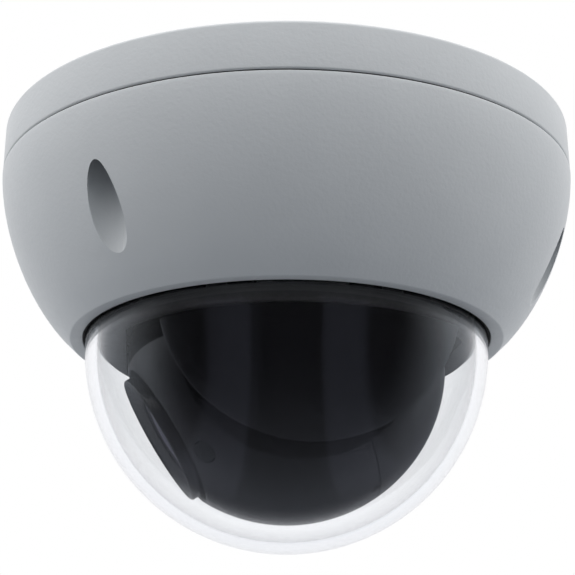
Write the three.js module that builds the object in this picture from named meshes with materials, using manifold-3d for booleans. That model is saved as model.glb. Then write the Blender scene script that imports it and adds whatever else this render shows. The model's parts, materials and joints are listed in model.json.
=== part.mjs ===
// Small ceiling dome camera that pans, tilts and zooms, in millimetres, +Z up.
// The origin is the centre of the ceiling face; the camera hangs below it, and its front is -Y.
import * as THREE from 'three';
import { mergeVertices } from 'three/addons/utils/BufferGeometryUtils.js';
import Module from 'manifold-3d';

const wasm = await Module();
wasm.setup();

// ---------------------------------------------------------------- driving dimensions
const GAP = 0.3;                                // clearance between pieces that touch

const BASE = { topRadius: 60.3, radius: 60.6, depth: 9.9, chamfer: 0.6, plateRadius: 46.0 };
const PLATE = { thickness: 1.5, cableRadius: 11, screwCircle: 37, screwRadius: 2.3 };
const BACK = { top: -1.8, bottom: -4.3 };       // back wall of the base housing
const SPIGOT = { inner: 54.9, outer: 57.3, bottom: -13.6 };
const CABLE = { y: 24, wallRadius: 8, glandRadius: 7.6, boreRadius: 5.4 };

const TRIM = { radius: 60.65, top: -10.3, wall: 1.8, lipRadius: 45.3, lip: -45.15 };
const TRIM_SEAT = { opening: 42.6, outer: 45.9, top: -43.3 };
const TRIM_BELLY = { drop: 10, shoulder: 9.9, rise: 8.65 };   // handles of the bowl's curve
const POCKET = { circle: 54.87, radius: 3.9, wall: 1.2, ceiling: -17.5, top: -13.9 };
const POCKET_AZIMUTHS = [-38.4, 81.6, 201.6];   // from the front, counted towards +X
const CLAMP_AZIMUTHS = [21.6, 141.6, 261.6];
const CLAMP = { inner: 40.2, outer: 45.3, bottom: -39.2, top: -37.6, earCircle: 46.9, earRadius: 1.3 };

const DOME = { radius: 42.1, wall: 2.4, centre: -46.9, flange: 45.4, flangeLow: -41.6, flangeHigh: -39.5 };

const GASKET = { inner: 42.5, outer: 45.5, bottom: -43.0, top: -41.9 };
const TRIM_SEAL = { circle: 57.9, section: 0.4, centre: -11.8 };
const THREAD = { cover: 1.6, clamp: 0.9, bossRadius: 1.3 };

const BOARD = { inner: 17.5, outer: 50, low: -8.6, high: -7.0, postCircle: 46, postRadius: 2.5 };
const BRACKET = { low: -11.4, high: -10.2, hole: 9.6, cupInner: 14.3, cupOuter: 16.6, cupTop: -6.4 };
const BRACKET_LEG = { inner: 51.3, outer: 54.0, top: -4.6 };
const HUB = { bore: 6.0, radius: 9.2, flange: 13, low: -13.4, high: -5.4 };
const RETAINER = { inner: 9.5, outer: 12.5, low: -6.3, high: -5.3 };
const BEARING = { inner: 9.5, outer: 14.0, low: -9.9, high: -6.6 };

const PAN_DRIVE = { module: 1.25, wheelTeeth: 56, pinionTeeth: 14, low: -13.4, high: -12.0, azimuth: 141.6 };
const PAN_MOTOR = { radius: 7.3, top: -15.2, bottom: -28 };
const TILT_DRIVE = { module: 0.72, wheelTeeth: 40, pinionTeeth: 10, outer: 24.1, inner: 22.6 };
const TILT_MOTOR = { radius: 6, near: 26.8, far: 33.2 };

const PAN_REST = 187;                           // turn of the turret about Z, in degrees
const TILT_REST = 32.2;                         // dip of the lens axis below the horizon
const TILT_Z = -49.95;                          // height of the tilt axis

const TURRET = { radius: 34, top: -13.7, bottom: -15.3, bore: 5.5 };
const ARM = { inner: 24.5, outer: 26.5, halfWidth: 9, foot: 34, holeRadius: 5.6 };
const BUSH = { inner: 4.15, outer: 5.35 };
const DECK = { radius: 39.1, top: -44.6, bottom: -48.07, openingRadius: 37.0, openingHalf: 34.3 };
const CHEEK = { radius: 38.2, wall: 1.8, centre: -41.8, shift: -1.5, inner: 23 };
const POST = { x: 17, y: 29, radius: 2.0, bottom: -53.2 };

const BALL = { radius: 33.06, wall: 1.86, half: 22.3, wallSide: 1.8, parting: -0.7, lensHole: 15.2 };
const TRUNNION = { radius: 4.0, hole: 4.35, flange: 6.5, flangeIn: 18.2, flangeOut: 20.2, end: 27.2 };
const WINDOW = { radius: 2.2, direction: [27.05, 16.57, -9.29] };
const BEZEL = { radius: 13.9, front: 31.25, back: 28.2, skirt: 26.2, inner: 9.2, dish: 1.4, rim: 0.5 };
const BARREL = { inner: 11.2, outer: 13.0, back: -2.5, front: 27.9 };
const FRONT_GLASS = { radius: 8.8, back: 29.2, front: 30.0 };
const ELEMENT = { radius: 10.6, thickness: 1.5, bulge: 1.0, focusBack: 20, zoomBack: 8 };
const FILTER = { back: 0.6, front: 1.4, halfWidth: 3.5, halfHeight: 4 };
const SENSOR = { back: -3.3, front: -2.0, halfWidth: 4, halfHeight: 3.2 };
const SENSOR_BOARD = { back: -5.2, front: -3.6, halfWidth: 13, halfHeight: 13 };
const LENS_MOTOR = { radius: 3.4, back: 8, front: 20, offset: 16.9 };

const ROUND = { large: 36, medium: 18, small: 10 };

// ---------------------------------------------------------------- materials
const finish = (color, roughness, metalness) => (
  new THREE.MeshStandardMaterial({ color, roughness, metalness })
);
const POWDER_COAT = finish(0xb9bcbf, 0.62, 0.1);
const GLOSS_BLACK = finish(0x0c0c0e, 0.12, 0.0);
const SATIN_BLACK = finish(0x1c1b1d, 0.55, 0.0);
const RUBBER = finish(0x121212, 0.85, 0.0);
const STEEL = finish(0xa9abae, 0.35, 1.0);
const BRASS = finish(0xb08a44, 0.35, 1.0);
const NYLON = finish(0xd9d6cc, 0.5, 0.0);
const BOARD_GREEN = finish(0x1d5a33, 0.5, 0.0);
const CHIP_BLACK = finish(0x17181a, 0.6, 0.0);
const CLEAR = finish(0xf3f5f8, 0.04, 0.0);
const LENS_GLASS = finish(0x2b3346, 0.03, 0.0);
const TINTED_GLASS = finish(0x8a2430, 0.08, 0.0);

// ---------------------------------------------------------------- geometry helpers
const radians = THREE.MathUtils.degToRad;

// Removes normals and uvs, merges vertices and hands the closed mesh to the boolean library.
function toSolid(geometry) {
  const bare = geometry.clone();
  bare.deleteAttribute('normal');
  bare.deleteAttribute('uv');
  const merged = mergeVertices(bare, 1e-4);
  const position = merged.attributes.position.array;
  const index = merged.index.array;
  const kept = [];
  for (let i = 0; i < index.length; i += 3) {
    const [a, b, c] = [index[i], index[i + 1], index[i + 2]];
    if (a !== b && b !== c && c !== a) kept.push(a, b, c);
  }
  const triangles = volumeOf(position, kept) < 0 ? kept.reverse() : kept;
  return new wasm.Manifold(new wasm.Mesh({
    numProp: 3, vertProperties: new Float32Array(position), triVerts: new Uint32Array(triangles),
  }));
}

// Six times the signed volume: negative when the faces point inwards.
function volumeOf(position, index) {
  const [a, b, c] = [new THREE.Vector3(), new THREE.Vector3(), new THREE.Vector3()];
  let sum = 0;
  for (let i = 0; i < index.length; i += 3) {
    a.fromArray(position, 3 * index[i]);
    b.fromArray(position, 3 * index[i + 1]);
    c.fromArray(position, 3 * index[i + 2]);
    sum += a.dot(b.cross(c));
  }
  return sum;
}

function toGeometry(solid) {
  const mesh = solid.getMesh();
  const geometry = new THREE.BufferGeometry();
  geometry.setAttribute('position', new THREE.BufferAttribute(new Float32Array(mesh.vertProperties), 3));
  geometry.setIndex(new THREE.BufferAttribute(new Uint32Array(mesh.triVerts), 1));
  geometry.computeVertexNormals();
  return geometry;
}

function join(first, ...others) {
  return toGeometry(others.reduce((sum, other) => sum.add(toSolid(other)), toSolid(first)));
}

function cut(first, ...others) {
  return toGeometry(others.reduce((sum, other) => sum.subtract(toSolid(other)), toSolid(first)));
}

function common(first, second) {
  return toGeometry(toSolid(first).intersect(toSolid(second)));
}

// A profile of [radius, height] pairs turned about Z.
function turned(profile, segments = ROUND.medium) {
  const points = profile.map(([radius, height]) => new THREE.Vector2(radius, height));
  return toGeometry(toSolid(new THREE.LatheGeometry(points, segments).rotateX(Math.PI / 2)));
}

function ring(inner, outer, low, high, segments) {
  return turned([[inner, low], [outer, low], [outer, high], [inner, high], [inner, low]], segments);
}

function rod(radius, low, high, segments) {
  return turned([[0, low], [radius, low], [radius, high], [0, high]], segments);
}

function block(x, y, z) {
  const box = new THREE.BoxGeometry(x[1] - x[0], y[1] - y[0], z[1] - z[0]);
  return box.translate((x[0] + x[1]) / 2, (y[0] + y[1]) / 2, (z[0] + z[1]) / 2);
}

function ball(radius, segments = 36) {
  return new THREE.SphereGeometry(radius, segments, segments / 2).rotateX(Math.PI / 2);
}

// A rod or ring made along Z, laid along X or along Y.
const alongX = (geometry) => geometry.rotateY(Math.PI / 2);
const alongY = (geometry) => geometry.rotateX(-Math.PI / 2);

// Turns a piece built on the +X side to an azimuth counted from the front (-Y) towards +X.
const toAzimuth = (geometry, azimuth) => geometry.rotateZ(radians(azimuth - 90));

function spot(azimuth, radius) {
  const angle = radians(azimuth - 90);
  return [radius * Math.cos(angle), radius * Math.sin(angle)];
}

// Spur gear with straight-flanked teeth; a tooth is centred on the +X direction.
function gear(teeth, module, addendum, bore, low, high) {
  const pitch = (teeth * module) / 2;
  const [root, tip] = [pitch - 1.1 * module, pitch + addendum];
  const step = (2 * Math.PI) / teeth;
  const outline = new THREE.Shape();
  for (let i = 0; i < teeth; i += 1) {
    const middle = i * step;
    const corners = [[root, -0.25], [tip, -0.1], [tip, 0.1], [root, 0.25]];
    corners.forEach(([radius, share]) => {
      const angle = middle + share * step;
      const [x, y] = [radius * Math.cos(angle), radius * Math.sin(angle)];
      if (outline.curves.length === 0 && outline.currentPoint.lengthSq() === 0) outline.moveTo(x, y);
      else outline.lineTo(x, y);
    });
  }
  outline.closePath();
  if (bore > 0) {
    const hole = new THREE.Path();
    hole.absarc(0, 0, bore, 0, 2 * Math.PI, true);
    outline.holes.push(hole);
  }
  const settings = { depth: high - low, bevelEnabled: false, curveSegments: 8 };
  const body = new THREE.ExtrudeGeometry(outline, settings);
  return body.translate(0, 0, low);
}

function part(parent, name, geometry, material) {
  const mesh = new THREE.Mesh(geometry, material);
  mesh.name = name;
  parent.add(mesh);
}

// ---------------------------------------------------------------- base
function mountingPlate() {
  const disc = rod(BASE.plateRadius, -PLATE.thickness, 0, ROUND.large);
  const cableHole = rod(PLATE.cableRadius, -5, 5, ROUND.medium).translate(0, CABLE.y, 0);
  const holes = [30, 150, 270].map((azimuth) => {
    const [x, y] = spot(azimuth + 180, PLATE.screwCircle);
    return rod(PLATE.screwRadius, -5, 5, ROUND.small).translate(x, y, 0);
  });
  return cut(disc, cableHole, ...holes);
}

function baseHousing() {
  const recess = BASE.plateRadius + GAP + 0.1;
  const shell = turned([
    [0, BACK.top], [recess, BACK.top], [recess, 0],
    [BASE.topRadius - BASE.chamfer, 0], [BASE.topRadius, -BASE.chamfer], [BASE.radius, -BASE.depth],
    [SPIGOT.outer, -BASE.depth], [SPIGOT.outer, SPIGOT.bottom],
    [SPIGOT.inner, SPIGOT.bottom], [SPIGOT.inner, BACK.bottom], [0, BACK.bottom],
  ], ROUND.large);
  const screwBosses = POCKET_AZIMUTHS.map((azimuth) => {
    const [x, y] = spot(azimuth, POCKET.circle);
    return rod(2.4, SPIGOT.bottom, BACK.bottom + 1, ROUND.small).translate(x, y, 0);
  });
  const boardPosts = [60, 180, 300].map((azimuth) => {
    const [x, y] = spot(azimuth, BOARD.postCircle);
    return rod(BOARD.postRadius, BOARD.high + GAP, BACK.bottom + 1, ROUND.small).translate(x, y, 0);
  });
  const threads = POCKET_AZIMUTHS.map((azimuth) => {
    const [x, y] = spot(azimuth, POCKET.circle);
    return rod(1.5, SPIGOT.bottom - 1, -5.5, ROUND.small).translate(x, y, 0);
  });
  const cableHole = rod(CABLE.wallRadius, -6, 0, ROUND.medium).translate(0, CABLE.y, 0);
  return cut(join(shell, ...screwBosses, ...boardPosts), cableHole, ...threads);
}

function cableGland() {
  const inner = CABLE.boreRadius;
  const flange = CABLE.wallRadius + 2;
  const profile = [
    [inner, -6.2], [flange, -6.2], [flange, BACK.bottom - GAP], [CABLE.glandRadius, BACK.bottom - GAP],
    [CABLE.glandRadius, BACK.top - 0.2], [inner, BACK.top - 0.2], [inner, -6.2],
  ];
  return turned(profile, 20).translate(0, CABLE.y, 0);
}

// ---------------------------------------------------------------- electronics
function mainBoard() {
  const disc = ring(BOARD.inner, BOARD.outer, BOARD.low, BOARD.high, ROUND.large);
  const holes = [60, 180, 300].map((azimuth) => {
    const [x, y] = spot(azimuth, BOARD.postCircle);
    return rod(1.3, BOARD.low - 1, BOARD.high + 1, ROUND.small).translate(x, y, 0);
  });
  return cut(disc, ...holes);
}

const CHIP_TOP = BOARD.low - GAP;
const chip = (azimuth, radius, side, thick) => toAzimuth(
  block([radius - side / 2, radius + side / 2], [-side / 2, side / 2], [CHIP_TOP - thick, CHIP_TOP]), azimuth);

function edgeBlock(azimuth, inner, outer, halfWidth, height) {
  return toAzimuth(block([inner, outer], [-halfWidth, halfWidth], [CHIP_TOP - height, CHIP_TOP]), azimuth);
}

const CARD = { radius: 46.2, halfWidth: 5.5, thickness: 1.0, top: -11.2, bottom: -26.0 };

function cardSocket() {
  const body = block([CARD.radius - 1.9, CARD.radius + 1.9], [-7.5, 7.5], [-21.4, CHIP_TOP]);
  const slot = block([CARD.radius - 0.9, CARD.radius + 0.9], [-5.9, 5.9], [-30, CARD.top + GAP + 0.2]);
  return toAzimuth(cut(body, slot), 0);
}

function memoryCard() {
  const half = CARD.thickness / 2;
  return toAzimuth(block([CARD.radius - half, CARD.radius + half], [-CARD.halfWidth, CARD.halfWidth],
    [CARD.bottom, CARD.top]), 0);
}

const RESET = { azimuth: 40, radius: 42, buttonRadius: 1.3, top: -10.9, bottom: -13.6 };

function resetSwitch() {
  const body = block([RESET.radius - 2.8, RESET.radius + 2.8], [-2.8, 2.8], [-11.7, CHIP_TOP]);
  const well = rod(1.7, -14, -10.0, ROUND.small).translate(RESET.radius, 0, 0);
  return toAzimuth(cut(body, well), RESET.azimuth);
}

function resetButton() {
  const button = rod(RESET.buttonRadius, RESET.bottom, RESET.top, ROUND.small);
  return toAzimuth(button.translate(RESET.radius, 0, 0), RESET.azimuth);
}

// ---------------------------------------------------------------- pan drive
const PAN_CENTRES = (PAN_DRIVE.module * (PAN_DRIVE.wheelTeeth + PAN_DRIVE.pinionTeeth)) / 2;

function panBracket() {
  const floor = ring(BRACKET.hole, BRACKET.cupOuter + 1, BRACKET.low, BRACKET.high, ROUND.medium);
  const cup = ring(BRACKET.cupInner, BRACKET.cupOuter, BRACKET.high - 0.5, BRACKET.cupTop, ROUND.medium);
  const arms = [0, 120, 240].flatMap((turn) => {
    const half = turn === 0 ? 12.6 : 5.5;
    const arm = block([13, BRACKET_LEG.outer - 0.6], [-half, half], [BRACKET.low, BRACKET.high]);
    const leg = block([BRACKET_LEG.inner, BRACKET_LEG.outer], [-4.5, 4.5], [BRACKET.low, BRACKET_LEG.top]);
    const azimuth = PAN_DRIVE.azimuth + turn;
    const trimmed = common(arm, rod(BRACKET_LEG.outer, -20, 0, ROUND.large));
    return [toAzimuth(trimmed, azimuth), toAzimuth(leg, azimuth)];
  });
  const bore = rod(BRACKET.cupInner, BRACKET.high, 0, ROUND.medium);
  return cut(join(floor, cup, ...arms), bore, rod(BRACKET.hole, -20, 0, ROUND.medium));
}

function panMotorMount() {
  const plate = block([PAN_CENTRES - 6.8, PAN_CENTRES + 6.6], [-12.3, 12.3], [-14.9, -14.1]);
  const risers = [-1, 1].map((side) => {
    const edges = [side * 10.6, side * 12.3].sort((a, b) => a - b);
    return block([PAN_CENTRES - 4, PAN_CENTRES + 4], edges, [-14.9, BRACKET.low - GAP]);
  });
  const shaftHole = rod(2.3, -20, 0, ROUND.small).translate(PAN_CENTRES, 0, 0);
  return toAzimuth(cut(join(plate, ...risers), shaftHole), PAN_DRIVE.azimuth);
}

function panMotor() {
  const body = rod(PAN_MOTOR.radius, PAN_MOTOR.bottom, PAN_MOTOR.top, ROUND.medium);
  const bore = rod(1.9, -19, 0, ROUND.small);
  return toAzimuth(cut(body, bore).translate(PAN_CENTRES, 0, 0), PAN_DRIVE.azimuth);
}

function panPinion() {
  const { module, pinionTeeth, low, high } = PAN_DRIVE;
  const wheel = gear(pinionTeeth, module, 0.7, 0, low, high).rotateZ(Math.PI + Math.PI / pinionTeeth);
  const shaft = rod(1.5, -18, high - 0.2, ROUND.small);
  return toAzimuth(join(wheel, shaft).translate(PAN_CENTRES, 0, 0), PAN_DRIVE.azimuth);
}

function panGear() {
  const { module, wheelTeeth, low, high } = PAN_DRIVE;
  return toAzimuth(gear(wheelTeeth, module, 0.7, 29, low, high), PAN_DRIVE.azimuth);
}

// ---------------------------------------------------------------- cover
function bowlCurve() {
  return new THREE.CubicBezierCurve(
    new THREE.Vector2(TRIM.radius, TRIM.top),
    new THREE.Vector2(TRIM.radius, TRIM.top - TRIM_BELLY.drop),
    new THREE.Vector2(TRIM.lipRadius + TRIM_BELLY.shoulder, TRIM.lip + TRIM_BELLY.rise),
    new THREE.Vector2(TRIM.lipRadius, TRIM.lip),
  );
}

function trimCover() {
  const curve = bowlCurve();
  const steps = 7;
  const outer = [];
  const inner = [];
  for (let i = 0; i <= steps; i += 1) {
    const t = i / steps;
    const point = curve.getPoint(t);
    const slope = curve.getTangent(t);
    outer.push([point.x, point.y]);
    if (t < 0.92) inner.push([point.x + TRIM.wall * slope.y, point.y - TRIM.wall * slope.x]);
  }
  const { opening, outer: seatOuter, top: seatTop } = TRIM_SEAT;
  const seat = [[opening, TRIM.lip], [opening, seatTop], [seatOuter, seatTop]];
  inner[0][1] = TRIM.top;
  const shell = turned([...outer, ...seat, ...inner.reverse(), outer[0]], ROUND.large);
  const filled = turned([[0, TRIM.top], ...outer, [0, TRIM.lip]], ROUND.large);
  const at = (geometry, azimuth, radius) => {
    const [x, y] = spot(azimuth, radius);
    return geometry.translate(x, y, 0);
  };
  const cups = POCKET_AZIMUTHS.map((azimuth) => common(
    at(rod(POCKET.radius + POCKET.wall, TRIM_SEAT.top, POCKET.top, 16), azimuth, POCKET.circle), filled));
  const bosses = CLAMP_AZIMUTHS.map((azimuth) => common(
    at(rod(THREAD.bossRadius, TRIM_SEAT.top, CLAMP.bottom - GAP, ROUND.small),
      azimuth, CLAMP.earCircle), filled));
  const pockets = POCKET_AZIMUTHS.map((azimuth) => at(
    rod(POCKET.radius, -60, POCKET.ceiling, 16), azimuth, POCKET.circle));
  const screwHoles = POCKET_AZIMUTHS.map((azimuth) => at(
    rod(THREAD.cover, POCKET.ceiling - 2.5, 0, ROUND.small), azimuth, POCKET.circle));
  const threads = CLAMP_AZIMUTHS.map((azimuth) => at(
    rod(THREAD.clamp, -41.3, -30, ROUND.small), azimuth, CLAMP.earCircle));
  return cut(join(shell, ...cups, ...bosses), ...pockets, ...screwHoles, ...threads);
}

function trimSeal() {
  const { circle, section, centre } = TRIM_SEAL;
  return new THREE.TorusGeometry(circle, section, 6, ROUND.large).translate(0, 0, centre);
}

function domeGasket() {
  return ring(GASKET.inner, GASKET.outer, GASKET.bottom, GASKET.top, ROUND.large);
}

function dome() {
  const { radius, wall, centre, flange, flangeLow, flangeHigh } = DOME;
  const arc = (r, from, to, steps) => Array.from({ length: steps + 1 }, (_, i) => {
    const angle = radians(from + ((to - from) * i) / steps);
    return [Math.abs(r * Math.cos(angle)) < 1e-6 ? 0 : r * Math.cos(angle), centre + r * Math.sin(angle)];
  });
  return turned([
    ...arc(radius, -90, 0, 7), [radius, flangeLow], [flange, flangeLow], [flange, flangeHigh],
    [radius - wall, flangeHigh], ...arc(radius - wall, 0, -90, 7),
  ], ROUND.large);
}

function clampRing() {
  const body = ring(CLAMP.inner, CLAMP.outer, CLAMP.bottom, CLAMP.top, ROUND.large);
  const place = (geometry, azimuth) => {
    const [x, y] = spot(azimuth, CLAMP.earCircle);
    return geometry.translate(x, y, 0);
  };
  const ears = CLAMP_AZIMUTHS.flatMap((azimuth) => [
    place(rod(CLAMP.earRadius, CLAMP.bottom, CLAMP.top, ROUND.small), azimuth),
    toAzimuth(block([CLAMP.outer - 2, CLAMP.earCircle], [-1.4, 1.4], [CLAMP.bottom, CLAMP.top]), azimuth),
  ]);
  const holes = CLAMP_AZIMUTHS.map((azimuth) => place(rod(0.9, -45, -30, ROUND.small), azimuth));
  return cut(join(body, ...ears), ...holes);
}

// Screw with its head downwards and a six-sided key hole in the head.
function screw(headRadius, headLow, headHigh, shankRadius, shankTop) {
  const body = turned([
    [0, headLow], [headRadius - 0.4, headLow], [headRadius, headLow + 0.4], [headRadius, headHigh],
    [shankRadius, headHigh], [shankRadius, shankTop], [0, shankTop],
  ], ROUND.small);
  return cut(body, rod(headRadius * 0.45, headLow - 1, headLow + 1.1, 6));
}

function coverScrew(azimuth) {
  const [x, y] = spot(azimuth, POCKET.circle);
  return screw(3.0, -20.3, POCKET.ceiling - GAP, 1.2, -6).translate(x, y, 0);
}

// Clamp screws point down, so the same shape is turned over.
function clampScrew(azimuth) {
  const [x, y] = spot(azimuth, CLAMP.earCircle);
  return screw(1.3, 36.0, 37.3, 0.6, 41.0).rotateX(Math.PI).translate(x, y, 0);
}

// ---------------------------------------------------------------- turret, in its own turned frame
function turretHub() {
  return turned([
    [HUB.bore, HUB.low], [HUB.flange, HUB.low], [HUB.flange, HUB.low + 1.3], [HUB.radius, HUB.low + 1.3],
    [HUB.radius, HUB.high], [HUB.bore, HUB.high], [HUB.bore, HUB.low],
  ]);
}

function yokeArm(side) {
  const { inner, outer, halfWidth, foot, holeRadius } = ARM;
  const top = TURRET.bottom - GAP;
  const across = (a, b) => [side * a, side * b].sort((p, q) => p - q);
  const web = block([-halfWidth, halfWidth], across(inner, outer), [TILT_Z, top]);
  const tab = block([-halfWidth, halfWidth], across(inner, foot), [top - 1.6, top]);
  const [low, high] = across(inner, outer);
  const end = alongY(rod(halfWidth, low, high)).translate(0, 0, TILT_Z);
  const bushHole = alongY(rod(holeRadius, -40, 40)).translate(0, 0, TILT_Z);
  const shaftHole = alongY(rod(1.7, -40, 40, ROUND.small)).translate(0, 0, TILT_Z + TILT_CENTRES);
  return cut(join(web, tab, end), bushHole, shaftHole);
}

function bush(side) {
  const [low, high] = [side * (ARM.inner + 0.1), side * (ARM.outer + 0.3)].sort((a, b) => a - b);
  return alongY(ring(BUSH.inner, BUSH.outer, low, high, 24)).translate(0, 0, TILT_Z);
}

// Deck with a wide opening for the ball, and a hollow cheek on each side of the ball.
function turretCover() {
  const { radius, wall, centre, shift, inner } = CHEEK;
  const opening = common(
    rod(DECK.openingRadius, -60, -30, ROUND.large),
    block([-DECK.openingHalf, DECK.openingHalf], [-50, 50], [-60, -30]),
  );
  const deck = cut(rod(DECK.radius, DECK.bottom, DECK.top, ROUND.large), opening);
  const lower = block([-50, 50], [-50, 50], [-90, DECK.top - 1]);
  const cheeks = cut(
    common(ball(radius, 26).translate(shift, 0, centre), lower),
    ball(radius - wall, 26).translate(shift, 0, centre),
    block([-50, 50], [-inner, inner], [-90, 0]),
  );
  const posts = [[1, 1], [1, -1], [-1, 1], [-1, -1]].map(([sx, sy]) => rod(
    POST.radius, POST.bottom, TURRET.bottom - GAP, 10).translate(sx * POST.x, sy * POST.y, 0));
  return join(deck, cheeks, ...posts);
}

const TILT_CENTRES = (TILT_DRIVE.module * (TILT_DRIVE.wheelTeeth + TILT_DRIVE.pinionTeeth)) / 2;
const TILT_ADDENDUM = 0.42;

function tiltMotor() {
  const { radius, near, far } = TILT_MOTOR;
  const body = alongY(rod(radius, -far, -near));
  const bore = alongY(rod(1.4, -near - 2.5, 0, ROUND.small));
  return cut(body, bore).translate(0, 0, TILT_Z + TILT_CENTRES);
}

function tiltPinion() {
  const { module, pinionTeeth, outer, inner } = TILT_DRIVE;
  const wheel = gear(pinionTeeth, module, TILT_ADDENDUM, 0, -outer, -inner).rotateZ(Math.PI / 2);
  const shaft = rod(1.0, -TILT_MOTOR.near - 2, -inner - 0.2, ROUND.small);
  return alongY(join(wheel, shaft)).translate(0, 0, TILT_Z + TILT_CENTRES);
}

function tiltGear() {
  const { module, wheelTeeth, outer, inner } = TILT_DRIVE;
  const half = Math.PI / wheelTeeth;
  const wheel = gear(wheelTeeth, module, TILT_ADDENDUM, TRUNNION.hole, -outer, -inner);
  return alongY(wheel.rotateZ(Math.PI / 2 + half)).rotateY(-radians(TILT_REST));
}

// ---------------------------------------------------------------- ball, with the lens along its own +X
function ballShell(front) {
  const { radius, wall, half, wallSide, parting, lensHole } = BALL;
  const slab = (reach) => block([-60, 60], [-reach, reach], [-60, 60]);
  const skin = common(ball(radius, 26), slab(half));
  const cavity = common(ball(radius - wall, 26), slab(half - wallSide));
  const keep = front
    ? block([parting + GAP / 2, 60], [-60, 60], [-60, 60])
    : block([-60, parting - GAP / 2], [-60, 60], [-60, 60]);
  const tools = [cavity, alongY(rod(TRUNNION.hole, -40, 40, 20))];
  if (front) {
    tools.push(alongX(rod(lensHole, 0, 60, 32)));
    tools.push(aimed(rod(WINDOW.radius + GAP, 20, 40, ROUND.small)));
  }
  return cut(common(skin, keep), ...tools);
}

// Turns a piece made along Z to the direction of the small sensor window.
function aimed(geometry) {
  const direction = new THREE.Vector3(...WINDOW.direction).normalize();
  const turn = new THREE.Quaternion().setFromUnitVectors(new THREE.Vector3(0, 0, 1), direction);
  return geometry.applyQuaternion(turn);
}

function sensorWindow() {
  return aimed(rod(WINDOW.radius, BALL.radius - BALL.wall, BALL.radius - 0.1, ROUND.small));
}

function trunnion(side) {
  const { radius, flange, flangeIn, flangeOut, end } = TRUNNION;
  const profile = [
    [0, flangeIn], [flange, flangeIn], [flange, flangeOut], [radius, flangeOut], [radius, end], [0, end],
  ];
  return alongY(turned(profile, 20)).rotateZ(side > 0 ? 0 : Math.PI);
}

function lensBarrel() {
  return alongX(ring(BARREL.inner, BARREL.outer, BARREL.back, BARREL.front, 24));
}

// Dished ring in front of the lens, with a skirt around the barrel's mouth.
function lensBezel() {
  const { radius, front, back, skirt, inner, dish, rim } = BEZEL;
  const skirtInner = BARREL.outer + GAP;
  return alongX(turned([
    [inner, back], [skirtInner, back], [skirtInner, skirt], [radius, skirt], [radius, front - 0.2],
    [radius - 0.2, front], [radius - rim, front], [inner, front - dish], [inner, back],
  ], 36));
}

// Lens element with two bulging faces.
function lensElement(back) {
  const { radius, thickness, bulge } = ELEMENT;
  const steps = 3;
  const face = (height, push) => Array.from({ length: steps + 1 }, (_, i) => {
    const share = i / steps;
    return [radius * share, height + push * (1 - share * share)];
  });
  return alongX(turned([...face(back, -bulge), ...face(back + thickness, bulge).reverse()], 24));
}

function frontGlass() {
  return alongX(rod(FRONT_GLASS.radius, FRONT_GLASS.back, FRONT_GLASS.front, 24));
}

// Flat plate square to the lens axis.
function plateAcross({ back, front, halfWidth, halfHeight }) {
  return block([back, front], [-halfWidth, halfWidth], [-halfHeight, halfHeight]);
}

function lensMotor(side) {
  const { radius, back, front, offset } = LENS_MOTOR;
  return alongX(rod(radius, back, front, ROUND.small)).translate(0, side * offset, 0);
}

// ---------------------------------------------------------------- assembly
const camera = new THREE.Group();

part(camera, 'mounting_plate', mountingPlate(), STEEL);
part(camera, 'base_housing', baseHousing(), POWDER_COAT);
part(camera, 'cable_gland', cableGland(), RUBBER);
part(camera, 'main_board', mainBoard(), BOARD_GREEN);
part(camera, 'processor_chip', chip(290, 30, 13, 1.0), CHIP_BLACK);
part(camera, 'memory_chip', chip(322, 32, 9, 1.0), CHIP_BLACK);
part(camera, 'network_socket', edgeBlock(300, 37.5, 48.5, 7, 10), NYLON);
part(camera, 'power_terminal', edgeBlock(178, 38.5, 48.5, 5, 8), NYLON);
part(camera, 'card_socket', cardSocket(), STEEL);
part(camera, 'memory_card', memoryCard(), CHIP_BLACK);
part(camera, 'reset_switch', resetSwitch(), CHIP_BLACK);
part(camera, 'reset_button', resetButton(), NYLON);
part(camera, 'pan_bracket', panBracket(), STEEL);
part(camera, 'pan_bearing', ring(BEARING.inner, BEARING.outer, BEARING.low, BEARING.high), STEEL);
part(camera, 'pan_motor', panMotor(), STEEL);
part(camera, 'pan_motor_mount', panMotorMount(), STEEL);
part(camera, 'pan_pinion', panPinion(), BRASS);
part(camera, 'trim_cover', trimCover(), POWDER_COAT);
part(camera, 'trim_seal', trimSeal(), RUBBER);
part(camera, 'dome', dome(), CLEAR);
part(camera, 'dome_gasket', domeGasket(), RUBBER);
part(camera, 'dome_clamp_ring', clampRing(), SATIN_BLACK);
POCKET_AZIMUTHS.forEach((azimuth, i) => part(camera, `cover_screw_${i + 1}`, coverScrew(azimuth), STEEL));
CLAMP_AZIMUTHS.forEach((azimuth, i) => part(camera, `clamp_screw_${i + 1}`, clampScrew(azimuth), STEEL));

const turret = new THREE.Group();
turret.rotation.z = radians(PAN_REST);
camera.add(turret);
part(camera, 'pan_gear', panGear(), NYLON);
part(turret, 'turret_plate', ring(TURRET.bore, TURRET.radius, TURRET.bottom, TURRET.top, ROUND.large), STEEL);
part(turret, 'turret_hub', turretHub(), STEEL);
part(turret, 'hub_retaining_ring', ring(RETAINER.inner, RETAINER.outer, RETAINER.low, RETAINER.high), STEEL);
part(turret, 'yoke_arm_near', yokeArm(1), STEEL);
part(turret, 'yoke_arm_far', yokeArm(-1), STEEL);
part(turret, 'tilt_bush_near', bush(1), BRASS);
part(turret, 'tilt_bush_far', bush(-1), BRASS);
part(turret, 'turret_cover', turretCover(), GLOSS_BLACK);
part(turret, 'tilt_motor', tiltMotor(), STEEL);
part(turret, 'tilt_pinion', tiltPinion(), BRASS);

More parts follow.
